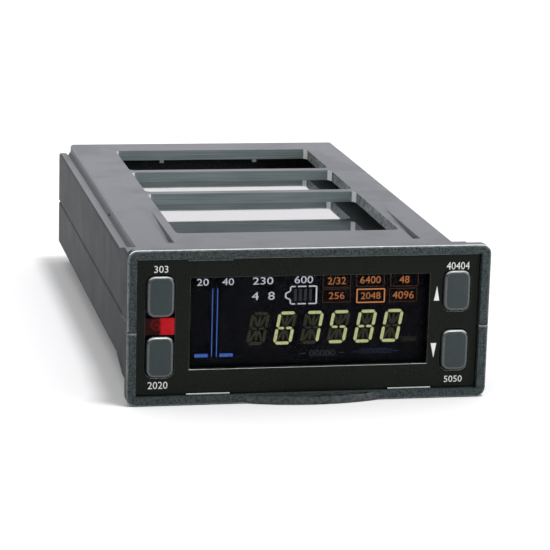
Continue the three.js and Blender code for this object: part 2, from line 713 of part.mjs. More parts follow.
function shieldLid() {
  const { halfWidth, front, rear, top, lidTop } = SHIELD;
  const gap = 2 * TOUCH;
  const outer = gap + SHIELD.sheet;
  const skirt = top - SHIELD.skirt;
  return cut(
    solid(box(-halfWidth - outer, halfWidth + outer, front - outer, rear + outer, skirt, lidTop)),
    box(-halfWidth - gap, halfWidth + gap, front - gap, rear + gap, skirt - OVERLAP, top + TOUCH),
  );
}

function bottomShield() {
  const { halfWidth, front, rear, wall } = SHIELD;
  return cut(
    solid(box(-halfWidth, halfWidth, front, rear, BOTTOM_SHIELD_Z, UNDER_MAIN)),
    box(
      -halfWidth + wall, halfWidth - wall, front + wall, rear - wall,
      BOTTOM_SHIELD_Z + wall, UNDER_MAIN + OVERLAP,
    ),
  );
}

addPiece('shield_frame', shieldFrame(), TINPLATE);
addPiece('shield_lid', shieldLid(), TINPLATE);
addPiece('bottom_shield', bottomShield(), TINPLATE);

for (const [name, hand] of [['a', -1], ['b', 1]]) {
  const x = hand * 20;
  addPiece(`tuner_chip_${name}`, onBoard(x, 60, 7, 7, 1.2), BLACK_PLASTIC);
  addPiece(`wave_filter_${name}`, onBoard(x, 85, 5, 5, 1.6), GOLD);
  addPiece(`input_filter_${name}`, onBoard(x, 140, 14, 9, 9), TINPLATE);
}
addPiece('crystal', alongZ(
  roundedRect(-20, 110, 5.5, 2.3, 2.2),
  ON_MAIN_TOP,
  ON_MAIN_TOP + 3.8,
), STEEL);
addPiece('audio_codec', onBoard(20, 110, 9, 9, 1.4), BLACK_PLASTIC);

// ---------------------------------------------------------------- rear sockets

const SOCKET_END = CASE_LENGTH - SOCKET_SETBACK;
const SHROUD = { fit: 0.3, wall: 1.4, lip: 1.2, front: 161 };
const ANTENNA = {
  halfBody: 3.2, bodyFront: 160.5, bodyRear: 168, barrelRadius: 3,
  boreRadius: 2.3, boreFloor: 170, pinBoreRadius: 0.7, pinBoreFloor: 164, pinRadius: 0.5,
};

// a frame round the board's contact tongue
function connectorShroud() {
  const { fit, wall, lip, front } = SHROUD;
  const halfWidth = CONTACT_OPENING.halfWidth - fit;
  const z0 = CONTACT_OPENING.z0 + fit - TOUCH;
  const z1 = CONTACT_OPENING.z1 - fit + TOUCH;
  return cut(
    solid(box(-halfWidth, halfWidth, front, SOCKET_END, z0, z1)),
    box(
      -halfWidth + wall, halfWidth - wall, front - OVERLAP, SOCKET_END + OVERLAP,
      z0 + lip, z1 - lip,
    ),
  );
}

function antennaSocket(x) {
  const { halfBody, bodyFront, bodyRear, boreFloor, pinBoreFloor } = ANTENNA;
  return cut(
    join(
      box(
        x - halfBody, x + halfBody, bodyFront, bodyRear,
        ANTENNA_Z - halfBody, ANTENNA_Z + halfBody,
      ),
      cylinderY(x, ANTENNA_Z, ANTENNA.barrelRadius, bodyRear - OVERLAP, SOCKET_END),
    ),
    cylinderY(x, ANTENNA_Z, ANTENNA.boreRadius, boreFloor, SOCKET_END + OVERLAP),
    cylinderY(
      x, ANTENNA_Z, ANTENNA.pinBoreRadius, pinBoreFloor, boreFloor + OVERLAP, SMALL_HOLE_STEPS,
    ),
  );
}

addPiece('connector_shroud', connectorShroud(), BLACK_PLASTIC);

for (const [name, hand] of [['a', -1], ['b', 1]]) {
  const x = hand * ANTENNA_X;
  addPiece(`antenna_socket_${name}`, antennaSocket(x), GOLD);
  addPiece(`antenna_pin_${name}`, cylinderY(
    x, ANTENNA_Z, ANTENNA.pinRadius, ANTENNA.pinBoreFloor + 3 * TOUCH, SOCKET_END - OVERLAP,
    SMALL_HOLE_STEPS,
  ), GOLD);
}

export default receiver;
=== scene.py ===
# %% [markdown]
# # A plug-in receiver module
# The real object is a plastic cassette that slides into a loudspeaker. Two case shells meet at
# a parting line, a black panel sits in the bezel, and a tinned shield shines through three
# windows in the top. We start from the measured solids, which never move, and build the looks
# round them. Every length below is in metres, so MM turns millimetres into metres.

# %% Load the measured solids
import json
from math import cos, pi, radians, sin, tan

import bmesh
import bpy
from mathutils import Matrix, Vector


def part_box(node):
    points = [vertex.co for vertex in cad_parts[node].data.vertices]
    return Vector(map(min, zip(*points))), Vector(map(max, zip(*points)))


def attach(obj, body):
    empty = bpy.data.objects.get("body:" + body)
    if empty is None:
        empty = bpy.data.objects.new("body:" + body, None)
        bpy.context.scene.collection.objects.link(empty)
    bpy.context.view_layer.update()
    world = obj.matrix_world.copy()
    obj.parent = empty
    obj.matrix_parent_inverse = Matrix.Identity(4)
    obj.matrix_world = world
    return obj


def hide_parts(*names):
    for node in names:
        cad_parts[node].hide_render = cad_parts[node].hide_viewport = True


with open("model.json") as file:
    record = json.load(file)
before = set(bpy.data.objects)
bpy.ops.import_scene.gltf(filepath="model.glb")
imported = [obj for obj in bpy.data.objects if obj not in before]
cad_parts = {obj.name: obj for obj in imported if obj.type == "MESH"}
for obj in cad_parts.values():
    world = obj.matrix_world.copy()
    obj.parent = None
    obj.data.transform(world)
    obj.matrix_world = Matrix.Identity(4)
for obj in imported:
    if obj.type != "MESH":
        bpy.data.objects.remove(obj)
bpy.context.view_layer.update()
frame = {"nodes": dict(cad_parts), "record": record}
MM = 0.001

# %% [markdown]
# ## Camera
# A long lens from the front left and a little above shows the panel, the left side and the
# windows at once. A long lens keeps the long case from shrinking too much towards its rear.
# We build the camera's axes from three angles, because a small roll is easier to see that way
# than with a tracking constraint.

# %% Place the camera
CAMERA_AZIMUTH = radians(-11.8)
CAMERA_ELEVATION = radians(13.32)
CAMERA_ROLL = radians(1.61)
CAMERA_PLACE = Vector((-139.9, -706.9, 185.9)) * MM
CAMERA_LENS = 159.2
CAMERA_SENSOR = 36
CAMERA_CLIP = (0.05, 50)


def make_camera():
    """Turns the camera's own axes into a matrix and hangs a long lens on it."""
    across = Vector((cos(CAMERA_AZIMUTH), sin(CAMERA_AZIMUTH), 0))
    ahead = Vector((
        -sin(CAMERA_AZIMUTH) * cos(CAMERA_ELEVATION),
        cos(CAMERA_AZIMUTH) * cos(CAMERA_ELEVATION),
        -sin(CAMERA_ELEVATION),
    ))
    upward = across.cross(ahead)
    level, tilt = cos(CAMERA_ROLL), sin(CAMERA_ROLL)
    right = across * level + upward * tilt
    top = upward * level - across * tilt
    lens = bpy.data.cameras.new("camera")
    lens.lens, lens.sensor_width = CAMERA_LENS, CAMERA_SENSOR
    lens.clip_start, lens.clip_end = CAMERA_CLIP
    camera = bpy.data.objects.new("camera", lens)
    bpy.context.scene.collection.objects.link(camera)
    turn = Matrix((right, top, -ahead)).transposed().to_4x4()
    camera.matrix_world = Matrix.Translation(CAMERA_PLACE) @ turn
    bpy.context.scene.camera = camera
    return camera


camera = make_camera()
print("camera at", [round(v, 3) for v in camera.location])

# %% [markdown]
# ## Shader maths
# A material in Blender is a graph of nodes. Writing every link by hand hides the idea, so one
# small class wraps an output and lets us write sums such as 1 - wear. A second class holds one
# material and adds its nodes. Settings go in first, because they decide which sockets a node has.


# %% Wrap sockets and materials
class Wire:
    """An output of a node that takes part in sums: each operator adds a Math node."""

    def __init__(self, finish, socket):
        self.finish, self.socket = finish, socket

    def sum(self, operation, first, second):
        """Adds one Math node, and gives its output."""
        return self.finish.node("ShaderNodeMath", {"operation": operation}, {0: first, 1: second})

    def __add__(self, other):
        return self.sum("ADD", self, other)

    def __sub__(self, other):
        return self.sum("SUBTRACT", self, other)

    def __rsub__(self, other):
        return self.sum("SUBTRACT", other, self)

    def __mul__(self, other):
        return self.sum("MULTIPLY", self, other)

    __radd__ = __add__
    __rmul__ = __mul__


class Finish:
    """One material, or the sky, that is built up node by node."""

    def __init__(self, name, sky=False):
        self.material = (bpy.data.worlds if sky else bpy.data.materials).new(name)
        self.material.use_nodes = True
        self.tree = self.material.node_tree
        self.tree.nodes.clear()
        self.place = self.node("ShaderNodeTexCoord", output="Generated" if sky else "Object")

    def node(self, kind, settings=None, inputs=None, output=0):
        """Adds a node: its settings first, then values or wires for its sockets."""
        node = self.tree.nodes.new(kind)
        for key, value in (settings or {}).items():
            if key == "stops":
                self.set_stops(node.color_ramp, value)
            else:
                setattr(node, key, value)
        for key, value in (inputs or {}).items():
            if isinstance(value, Wire):
                self.tree.links.new(value.socket, node.inputs[key])
            else:
                node.inputs[key].default_value = value
        return Wire(self, node.outputs[output])

    @staticmethod
    def set_stops(ramp, stops):
        """Gives a ramp its stops: (position, grey level) pairs."""
        while len(ramp.elements) < len(stops):
            ramp.elements.new(1)
        for element, (position, grey) in zip(ramp.elements, stops):
            element.position, element.color = position, (grey, grey, grey, 1)

    def noise(self, size, detail=2, roughness=0.5, stretch=None):
        """Noise whose blotches are about `size` metres wide, from 0 to 1."""
        where = self.place
        if stretch:
            where = self.node("ShaderNodeMapping", {}, {"Vector": where, "Scale": stretch})
        return self.node("ShaderNodeTexNoise", {}, {
            "Vector": where, "Scale": 1 / size, "Detail": detail, "Roughness": roughness,
        }, output="Fac")

    def ramp(self, value, *stops):
        """Bends a value from 0 to 1 through the stops."""
        return self.node("ShaderNodeValToRGB", {"stops": stops}, {0: value})

    def mix(self, first, second, share):
        """Mixes two colours: share 0 gives the first, and 1 the second."""
        return self.node("ShaderNodeMix", {"data_type": "RGBA"}, {
            0: share, 6: colour(first), 7: colour(second),
        }, output=2)

    def bump(self, height, depth, strength=1.0, over=None):
        """Turns a height from 0 to 1 into a normal, `depth` metres deep."""
        inputs = {"Strength": strength, "Distance": depth, "Height": height}
        if over:
            inputs["Normal"] = over
        return self.node("ShaderNodeBump", {}, inputs)

    def surface(self, **sockets):
        """Ends the graph in a Principled shader. Underscores stand for the spaces in names."""
        names = {key.replace("_", " "): value for key, value in sockets.items()}
        names = {key: colour(value) for key, value in names.items()}
        return self.end_in(self.node("ShaderNodeBsdfPrincipled", {}, names))

    def end_in(self, shader, kind="ShaderNodeOutputMaterial"):
        """Links a shader to the output, and gives the finished material."""
        end = self.tree.nodes.new(kind)
        self.tree.links.new(shader.socket, end.inputs["Surface"])
        return self.material

    def part(self, vector, axis):
        """One of a vector's three numbers."""
        return self.node("ShaderNodeSeparateXYZ", {}, {0: vector}, output=axis)


def colour(value):
    """A colour socket wants four numbers, so three get an alpha of 1."""
    return (*value, 1) if isinstance(value, tuple) and len(value) == 3 else value


# %% [markdown]
# ## Floor and light
# A pale floor, a sky and one soft overhead lamp do most of the work. The sky matters more than it
# seems: the polished shield under the windows mirrors whatever stands behind the case, so the sky
# is white behind, and the black panel mirrors what stands in front, so it is dim there. The lamp
# draws the thin bright lines along every rounded edge that faces up. It is a sun with a wide
# disc, because a near lamp would leave the floor in the distance grey. A small soft card at the
# right draws the bright line down the bezel's right edge, which the other two can't reach.

# %% Make the floor, the sky and the lights
SKY_BEHIND = 1.0
SKY_ABOVE = 0.75
SKY_IN_FRONT = 0.12
FLOOR_SIZE = 12
LAMP_LIGHT = 1.6
LAMP_DISC = radians(11)
LAMP_TURN = (radians(8), radians(10), 0)
CARD_LIGHT = 0.42
CARD_SIZE = 0.16
CARD_PLACE = Vector((0.3, -0.36, 0.14))
CARD_AIM = Vector((0.02, -0.08, 0.02))


def make_studio():
    """A floor, a sky, a lamp and a side card: none of them belongs to the object."""
    paint = Finish("pale floor")
    tone = paint.mix((0.86, 0.86, 0.87), (0.9, 0.9, 0.91), paint.noise(0.4))
    paint.surface(Base_Color=tone, Roughness=0.9, Specular_IOR_Level=0.1)
    shape = bmesh.new()
    bmesh.ops.create_grid(shape, x_segments=4, y_segments=4, size=FLOOR_SIZE / 2)
    mesh = bpy.data.meshes.new("floor")
    shape.to_mesh(mesh)
    mesh.materials.append(paint.material)
    floor = bpy.data.objects.new("floor", mesh)
    bpy.context.scene.collection.objects.link(floor)

    sky = Finish("sky", sky=True)
    behind = sky.ramp(sky.part(sky.place, "Y") + 0.5, (0.15, 0), (0.6, 1))
    above = sky.ramp(sky.part(sky.place, "Z"), (0.1, 0), (0.8, 1))
    light = behind * (SKY_BEHIND - SKY_IN_FRONT) + SKY_IN_FRONT
    light = light + (1 - behind) * above * (SKY_ABOVE - SKY_IN_FRONT)
    glow = sky.node("ShaderNodeBackground", {}, {"Color": (1, 1, 1, 1), "Strength": light})
    bpy.context.scene.world = sky.end_in(glow, "ShaderNodeOutputWorld")

    sun = bpy.data.lights.new("lamp", "SUN")
    sun.energy, sun.angle = LAMP_LIGHT, LAMP_DISC
    lamp = bpy.data.objects.new("lamp", sun)
    lamp.rotation_euler = LAMP_TURN
    bpy.context.scene.collection.objects.link(lamp)

    soft = bpy.data.lights.new("side card", "AREA")
    soft.energy, soft.size = CARD_LIGHT, CARD_SIZE
    card = bpy.data.objects.new("side card", soft)
    card.location = CARD_PLACE
    card.rotation_euler = (CARD_AIM - CARD_PLACE).to_track_quat("-Z", "Y").to_euler()
    bpy.context.scene.collection.objects.link(card)
    bpy.context.scene.view_settings.view_transform = "Standard"


make_studio()
print("sky behind", SKY_BEHIND, "in front", SKY_IN_FRONT, "lamp", LAMP_LIGHT)

# %% [markdown]
# ## Finishes
# The case is dark grey plastic from a spark-eroded mould: its surface is covered with rounded
# pits about a third of a millimetre wide, which blur every reflection. Real moulded parts also
# vary a little in tone and shine from place to place, so each finish mixes a slow and a fine
# noise into its colour, its roughness and its bump. Faces that look up are painted paler, a
# painted sheen of light from above, and the case's other faces are darker towards the bezel, a
# painted shade. One function with a few settings serves every plastic here: separate graphs would
# be more freely shaped, but they would drift apart in scale.

# %% A moulded plastic
PATCH_SIZE = 9 * MM
STREAK_SIZE = 26 * MM
# How dark the painted shade makes the case towards the front.
FRONT_SHADE = 0.55
# How quickly faces that look up turn to the painted sheen, a painted light.
SHEEN_RAMP = 0.23


def moulded_plastic(
    name, dark, light, roughness, grain=0.35 * MM, depth=0.03 * MM, fleck=0.5, gloss=0.5,
    painted_sheen=None, sheen_from=0.75, stretch=None, shaded_to_front=False,
):
    """Grained plastic: pits in the bump, flecks in the colour, slow patches in the shine.

    Faces that look up take a paler colour, from an upward slope of the given start on: a painted
    sheen of light from above, which on rounded edges makes a painted highlight. With the front
    shade, which needs the sheen too, mostly the other faces are darker towards the front: a
    painted shade.
    """
    paint = Finish(name)
    pits = paint.noise(grain, detail=3, stretch=stretch)
    patches = paint.noise(PATCH_SIZE, detail=3)
    speck = paint.ramp(pits, (0.35, 0), (0.65, 1))
    tone = paint.mix(dark, light, speck * fleck + patches * (1 - fleck))
    # Painted sheen: faces that look up mix towards a paler colour, as light from above.
    if painted_sheen:
        facing = paint.node("ShaderNodeNewGeometry", output="Normal")
        upward = paint.ramp(
            paint.part(facing, "Z"), (sheen_from, 0), (sheen_from + SHEEN_RAMP, 1))
        streaks = paint.noise(STREAK_SIZE, detail=4, roughness=0.6)
        share = speck * 0.18 + patches * 0.12 + paint.ramp(streaks, (0.36, 0.52), (0.5, 0.72))
        tone = paint.mix(tone, painted_sheen, upward * share)
        # Painted shade: the colour darkens towards the front, mostly on faces that don't look up.
        if shaded_to_front:
            along = paint.ramp(paint.part(paint.place, "Y") * 5 + 0.5, (0.05, 1), (0.65, 0))
            front_shade_tone = tuple(c * FRONT_SHADE for c in dark)
            tone = paint.mix(tone, front_shade_tone, along * (0.9 - upward * 0.7))
    shine = paint.ramp(patches, (0.3, roughness - 0.05), (0.7, roughness + 0.05))
    normal = paint.bump(pits, depth)
    return paint.surface(
        Base_Color=tone, Roughness=shine + speck * 0.06, Normal=normal,
        Specular_IOR_Level=gloss)


print("patches", PATCH_SIZE, "streaks", STREAK_SIZE)

# %% [markdown]
# ## Nine plastics for the case, and six for the rest
# The case is one moulding, but its surfaces don't look alike. The sides have a fine grain, the
# bezel a coarse one, and edges that are touched often are polished. Some finishes carry painted
# light: the window walls, the groove walls and the slot walls are painted paler, as if lit, and
# the edges, the tabs and the rear corners of the windows carry painted highlights. We give each
# kind of surface its own finish and choose between them face by face later on. A single finish
# with painted masks could do it too, but a mask is hard to place on an edge this thin.

# %% The case's plastics
# The painted sheen of light from above on the case's up-facing faces.
PAINTED_SHEEN = (0.226, 0.229, 0.25)
case_plastic = moulded_plastic(
    "case plastic", (0.026, 0.029, 0.032), (0.074, 0.082, 0.087), 0.6, grain=0.42 * MM,
    depth=0.015 * MM, fleck=0.75, gloss=0.12, painted_sheen=PAINTED_SHEEN, shaded_to_front=True)
# Rubbed edges are glossier, and their paler colour is a painted highlight.
rubbed_edge_highlight = moulded_plastic(
    "rubbed case edge, painted highlight", (0.11, 0.122, 0.126), (0.17, 0.188, 0.194), 0.3, grain=0.5 * MM,
    depth=0.02 * MM, gloss=1.0)
bezel_plastic = moulded_plastic(
    "coarse bezel plastic", (0.003, 0.006, 0.006), (0.058, 0.078, 0.08), 0.5, grain=0.42 * MM,
    depth=0.07 * MM, fleck=0.95, gloss=0.22)
grip_plastic = moulded_plastic(
    "dark finger grip", (0.002, 0.003, 0.003), (0.045, 0.058, 0.06), 0.36, grain=0.9 * MM,
    depth=0.09 * MM, fleck=0.95, gloss=0.5)
# Painted light: the groove and slot walls are paler than the case, as if lit.
groove_painted_light = moulded_plastic(
    "groove wall, painted light", (0.15, 0.155, 0.165), (0.27, 0.275, 0.29), 0.6, grain=0.5 * MM,
    depth=0.02 * MM, gloss=0.2)
# Painted highlight: the bezel's edges and the panel's tabs, near white where they face up.
lip_highlight = moulded_plastic(
    "bezel edge, painted highlight", (0.025, 0.032, 0.034), (0.125, 0.142, 0.147), 0.35, grain=0.9 * MM,
    depth=0.03 * MM, fleck=0.9, gloss=0.6, painted_sheen=(0.8, 0.82, 0.82), sheen_from=0.45)
# Painted light: the window walls and the plate's underside are paler than the case, as if lit.
wall_painted_light = moulded_plastic(
    "window wall, painted light", (0.12, 0.157, 0.162), (0.22, 0.265, 0.27), 0.35, grain=0.28 * MM,
    depth=0.01 * MM, gloss=0.6, stretch=(0.015, 1, 1), fleck=0.7)
# Painted light: the windows' right walls are paler than the case, as if lit; the coarse grain is
# real.
side_painted_light = moulded_plastic(
    "grained window side, painted light", (0.012, 0.015, 0.016), (0.27, 0.3, 0.31), 0.5, grain=1.1 * MM,
    depth=0.05 * MM, fleck=0.85, gloss=0.3)
# Painted highlight: the rounded rear corners of the windows are near white.
corner_highlight = moulded_plastic(
    "window corner, painted highlight", (0.8, 0.82, 0.82), (0.92, 0.94, 0.94), 0.25, depth=0.004 * MM, gloss=0.9)
print("case finishes made, with a bloom of", PAINTED_SHEEN)

# %% The front's plastics, and two for the inside
panel_plastic = moulded_plastic(
    "black panel", (0.0062, 0.0078, 0.006), (0.0098, 0.012, 0.0092), 0.25, grain=0.5 * MM,
    depth=0.002 * MM, gloss=0.07)
# Painted highlight: the polished rims of the panel's openings turn near white where they face up.
rim_highlight = moulded_plastic(
    "polished panel rim, painted highlight", (0.012, 0.014, 0.012), (0.02, 0.022, 0.02), 0.12, depth=0.002 * MM,
    gloss=0.8, painted_sheen=(0.95, 0.96, 0.97), sheen_from=0.3)
black_plastic = moulded_plastic("black moulding", (0.01, 0.01, 0.011), (0.02, 0.02, 0.022), 0.5)
white_plastic = moulded_plastic("milky light guide", (0.6, 0.6, 0.58), (0.72, 0.72, 0.7), 0.4)
cap_rubber = moulded_plastic(
    "button cap", (0.022, 0.031, 0.033), (0.042, 0.056, 0.059), 0.34, grain=0.2 * MM,
    depth=0.004 * MM, gloss=0.22)
# Painted highlight: the cap's front edge turns pale where it faces up.
cap_edge_highlight = moulded_plastic(
    "polished cap edge, painted highlight", (0.03, 0.038, 0.04), (0.055, 0.066, 0.068), 0.22, grain=0.3 * MM,
    depth=0.003 * MM, gloss=0.8, painted_sheen=(0.75, 0.78, 0.78), sheen_from=0.45)
print("front finishes made:", panel_plastic.name, "and", cap_rubber.name)

# %% [markdown]
# ## Metals and circuit boards
# The shield is tinned steel sheet, thin enough to ripple slightly, and the ripple is what makes its
# reflection look like metal and not like paint. Rolled metal has fine scratches along one
# direction, so the noise that roughens it is stretched. The boards are copper tracks under green
# lacquer, and a brick pattern is enough, because only slits of them can be seen.

# %% Metals
WAVE_SIZE = 22 * MM
STAIN_SIZE = 6 * MM
SCRATCH_DEPTH = 0.0006 * MM


def bare_metal(name, dark, light, roughness, waviness=0.0, grain=0.12 * MM):
    """Metal with fine scratches along y, faint stains, and slow waves if the sheet isn't flat."""
    paint = Finish(name)
    scratches = paint.noise(grain, detail=2, stretch=(1, 0.05, 1))
    stains = paint.noise(STAIN_SIZE, detail=4)
    tone = paint.mix(dark, light, stains)
    shine = scratches * (roughness * 0.6) + roughness * 0.7
    waves = paint.bump(paint.noise(WAVE_SIZE, detail=1), waviness)
    normal = paint.bump(scratches, SCRATCH_DEPTH, over=waves)
    return paint.surface(Base_Color=tone, Metallic=1.0, Roughness=shine, Normal=normal)


tinplate = bare_metal(
    "bright tinplate", (0.6, 0.6, 0.62), (0.68, 0.68, 0.7), 0.045, waviness=0.03 * MM)
aluminium = bare_metal("drawn aluminium", (0.55, 0.56, 0.57), (0.68, 0.69, 0.7), 0.3)
steel = bare_metal("zinc-plated steel", (0.33, 0.34, 0.35), (0.45, 0.46, 0.47), 0.35)
gold = bare_metal("gold plate", (0.7, 0.45, 0.16), (0.85, 0.6, 0.26), 0.25)
print("metals:", [m.name for m in (tinplate, aluminium, steel, gold)])


# %% The circuit boards
def solder_mask(name):
    """A circuit board: lacquer over copper tracks that run along x and y."""
    paint = Finish(name)
    tracks = paint.node("ShaderNodeTexBrick", {}, {
        "Vector": paint.place, "Scale": 180.0, "Mortar Size": 0.04,
        "Color1": (0, 0, 0, 1), "Color2": (0.2, 0.2, 0.2, 1), "Mortar": (1, 1, 1, 1),
    })
    tone = paint.mix((0.012, 0.09, 0.035), (0.03, 0.17, 0.07), tracks)
    blotch = paint.noise(3 * MM)
    normal = paint.bump(tracks, 0.02 * MM)
    return paint.surface(Base_Color=tone, Roughness=blotch * 0.15 + 0.28, Normal=normal)


board_green = solder_mask("green circuit board")
print("board:", board_green.name)

# %% [markdown]
# ## Windows
# The display sits behind smoked plastic, and the infrared receiver behind clear red plastic. Real
# transmission would work, but a mostly transparent surface with a gloss is quicker to render and
# survives the export. The red window's left half shows the round receiver behind it, so its
# colour follows the distance from the receiver's middle.


# %% The smoked window and the display glass
def tinted_window(name, tone, clearness, roughness, gloss):
    """Smoked plastic: mostly see-through, with a faint haze and a gloss."""
    paint = Finish(name)
    haze = paint.noise(5 * MM, detail=3)
    shade = paint.mix(tone, tuple(c * 1.3 for c in tone), haze)
    shine = haze * 0.03 + roughness
    return paint.surface(
        Base_Color=shade, Roughness=shine, Alpha=1 - clearness, Specular_IOR_Level=gloss)


display_clear = tinted_window("smoked window", (0.002, 0.0025, 0.004), 0.86, 0.04, 0.07)
display_dark = moulded_plastic(
    "dark display glass", (0.0032, 0.0035, 0.0047), (0.0048, 0.0052, 0.0074), 0.25,
    depth=0.0005 * MM, gloss=0.03)
print("windows:", display_clear.name, "and", display_dark.name)

# %% The red window
RECEIVER_ACROSS, RECEIVER_UP = 0.38, 0.62
RECEIVER_RADIUS = 2 * MM


def red_window(name, low, high):
    """Nearly opaque red plastic that paints what shows through it: painted light on the right half,
    and a receiver's dark shape with rings of painted light and shade on the left.
    """
    paint = Finish(name)
    width = high.x - low.x
    along = (paint.part(paint.place, "X") - low.x) * (1 / width)
    centre = (
        low.x + RECEIVER_ACROSS * width, low.y, low.z + RECEIVER_UP * (high.z - low.z))
    distance = paint.node("ShaderNodeVectorMath", {"operation": "DISTANCE"}, {
        0: paint.place, 1: centre}, output="Value") * (1 / RECEIVER_RADIUS)
    # Painted light and shade: pale and dark rings round the receiver's middle.
    rings = paint.ramp(
        distance, (0.0, 0.24), (0.2, 0.21), (0.35, 0.06), (0.5, 0.08), (0.65, 0.2), (0.95, 0.02))
    cloud = paint.noise(1.6 * MM, detail=3)
    # Painted light: the right half is painted bright red.
    bright = paint.ramp(along + cloud * 0.12 - 0.06, (0.46, 0), (0.56, 1))
    share = bright + (1 - bright) * rings
    red = paint.mix((0.4, 0.008, 0.012), (0.62, 0.014, 0.022), cloud)
    tone = paint.mix((0.014, 0.005, 0.004), red, share)
    return paint.surface(
        Base_Color=tone, Roughness=cloud * 0.05 + 0.12, Alpha=0.94, Specular_IOR_Level=0.04)


infrared_red = red_window("clear red", *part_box("infrared_window"))
infrared_lens = moulded_plastic(
    "red receiver lens", (0.5, 0.03, 0.04), (0.62, 0.05, 0.06), 0.35, depth=0.002 * MM)
print("red window:", infrared_red.name)

# %% [markdown]
# ## Dress the measured solids
# Most solids already have the right shape, so they only get a finish: it goes into the object's
# own material slot. The record says which finish each solid has, so one table is enough.

# %% Give every solid its finish
FINISHES = {
    "case_plastic": case_plastic, "panel_plastic": panel_plastic, "display_clear": display_clear,
    "button_rubber": cap_rubber, "infrared_red": infrared_red, "black_plastic": black_plastic,
    "white_plastic": white_plastic, "board_green": board_green, "tinplate": tinplate,
    "aluminium": aluminium, "steel": steel, "gold": gold,
}


def dress(solid, material):
    """Puts one material on a solid, in place of the one it was loaded with."""
    while len(solid.data.materials):
        solid.data.materials.pop()
    solid.data.materials.append(material)


for part in frame["record"]["subparts"]:
    dress(frame["nodes"][part["node"]], FINISHES[part["material_slot"]])
dress(frame["nodes"]["display_glass"], display_dark)
dress(frame["nodes"]["infrared_receiver"], infrared_lens)
dress(frame["nodes"]["infrared_emitter"], black_plastic)

# %% [markdown]
# ## Round the case's edges
# A moulded edge is never a knife edge: it has a radius of a few tenths of a millimetre, and that
# radius catches the light as a thin line. The measured shells are sharp, so we copy each one,
# merge its loose triangles, and bevel the long outer edges. The copy then stands for the solid.

# %% A helper that turns a bmesh into a piece, and one that copies a solid
SHARP_ANGLE = radians(32)
FLAT_ANGLE = radians(0.4)
SQUARE_ANGLE = radians(60)
WELD = 0.002 * MM
NEAR = 0.01 * MM


def make_piece(name, shape, *materials, body="case", slot=None, stands_for=()):
    """Makes a bmesh an object with even shading that rides on a body."""
    for edge in shape.edges:
        edge.smooth = edge.calc_face_angle(0) < SHARP_ANGLE
    for face in shape.faces:
        face.smooth = True
    mesh = bpy.data.meshes.new(name)
    shape.to_mesh(mesh)
    shape.free()
    for material in materials:
        mesh.materials.append(material)
    piece = bpy.data.objects.new(name, mesh)
    bpy.context.scene.collection.objects.link(piece)
    shading = piece.modifiers.new("even shading", "WEIGHTED_NORMAL")
    shading.keep_sharp = True
    if stands_for:
        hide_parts(*stands_for)
    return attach(piece, body)


def merged_copy(node):
    """A copy of a solid whose loose triangles are merged into whole faces."""
    shape = bmesh.new()
    shape.from_mesh(frame["nodes"][node].data)
    bmesh.ops.remove_doubles(shape, verts=shape.verts, dist=WELD)
    bmesh.ops.dissolve_limit(
        shape, angle_limit=FLAT_ANGLE, verts=shape.verts, edges=shape.edges,
        use_dissolve_boundaries=False, delimit=set())
    return shape


def round_edges(shape, radius, chosen, steps=2, slot=1):
    """Bevels the square outer edges that the test `chosen` picks, and gives them a slot."""
    edges = [
        e for e in shape.edges
        if len(e.link_faces) == 2 and e.is_convex
        and e.calc_face_angle(0) > SQUARE_ANGLE and chosen(e)
    ]
    rounded = bmesh.ops.bevel(
        shape, geom=edges, offset=radius, offset_type="OFFSET", segments=steps, profile=0.5,
        affect="EDGES", clamp_overlap=True, material=-1)
    for face in rounded["faces"]:
        face.material_index = slot
    return len(edges)


print("edges that turn by more than", round(SHARP_ANGLE, 2), "radians stay sharp")

# %% [markdown]
# ## Which finish each face has
# The shell's finish changes from surface to surface, so every face is sorted by where it lies and
# which way it faces. The places come from the measured boxes and the record's openings, so they
# move with the solids if those ever change.

# %% Places on the shells
BEZEL_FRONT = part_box("upper_shell")[0].y
BEZEL_ROUND = 0.6 * MM
HALF_WIDTH, _, BEZEL_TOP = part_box("upper_shell")[1]
PLATE_TOP = BEZEL_TOP - 3.5 * MM
PLATE_THICKNESS = 3.2 * MM
PLATE_REACH = 3.4 * MM
PLATE_PLAY = 0.3 * MM
RAIL_WIDTH = 3 * MM
WALL_REACH = 2.5 * MM
WINDOWS = [
    (Vector(o["box_m"][0]), Vector(o["box_m"][1]))
    for o in frame["record"]["physics"]["openings"]
]
SEAM_Z = BEZEL_TOP / 2
SEAM_ZONE = 0.8 * MM
SEAT_DEPTH = 3.3 * MM
SEAT_HALF_WIDTH = 47.6 * MM
SEAT_HALF_HEIGHT = 19.1 * MM
TAB_REACH = 0.4 * MM
GRIP_REACH = 0.05 * MM
LOOKING = 0.9
UPRIGHT = 0.5


def in_window(face):
    """True for the upright walls inside one of the top windows."""
    middle = face.calc_center_median()
    return abs(face.normal.z) < UPRIGHT and any(
        low.x - WALL_REACH < middle.x < high.x + WALL_REACH
        and low.y - WALL_REACH < middle.y < high.y + WALL_REACH
        and middle.z > low.z
        for low, high in WINDOWS)


def in_seat(part, margin=0.0):
    """True for a face or an edge inside the seat that the front panel sits in."""
    middle = sum((v.co for v in part.verts), Vector()) / len(part.verts)
    return (
        max(v.co.y for v in part.verts) < BEZEL_FRONT + SEAT_DEPTH
        and abs(middle.x) < SEAT_HALF_WIDTH
        and abs(middle.z - SEAM_Z) < SEAT_HALF_HEIGHT - margin)


print("windows in the plate:", len(WINDOWS), "plate top:", round(PLATE_TOP / MM, 2))

# %% Sort the faces
CASE, EDGE, BEZEL, WALL, POST, LIP, LIT_GROOVE, GRIP, SIDE = range(9)
SHELL_FINISHES = (
    case_plastic, rubbed_edge_highlight, bezel_plastic, wall_painted_light, corner_highlight, lip_highlight,
    groove_painted_light, grip_plastic, side_painted_light)
CORNER_AHEAD, CORNER_ACROSS = 0.05, 0.4
FLAT = 0.99


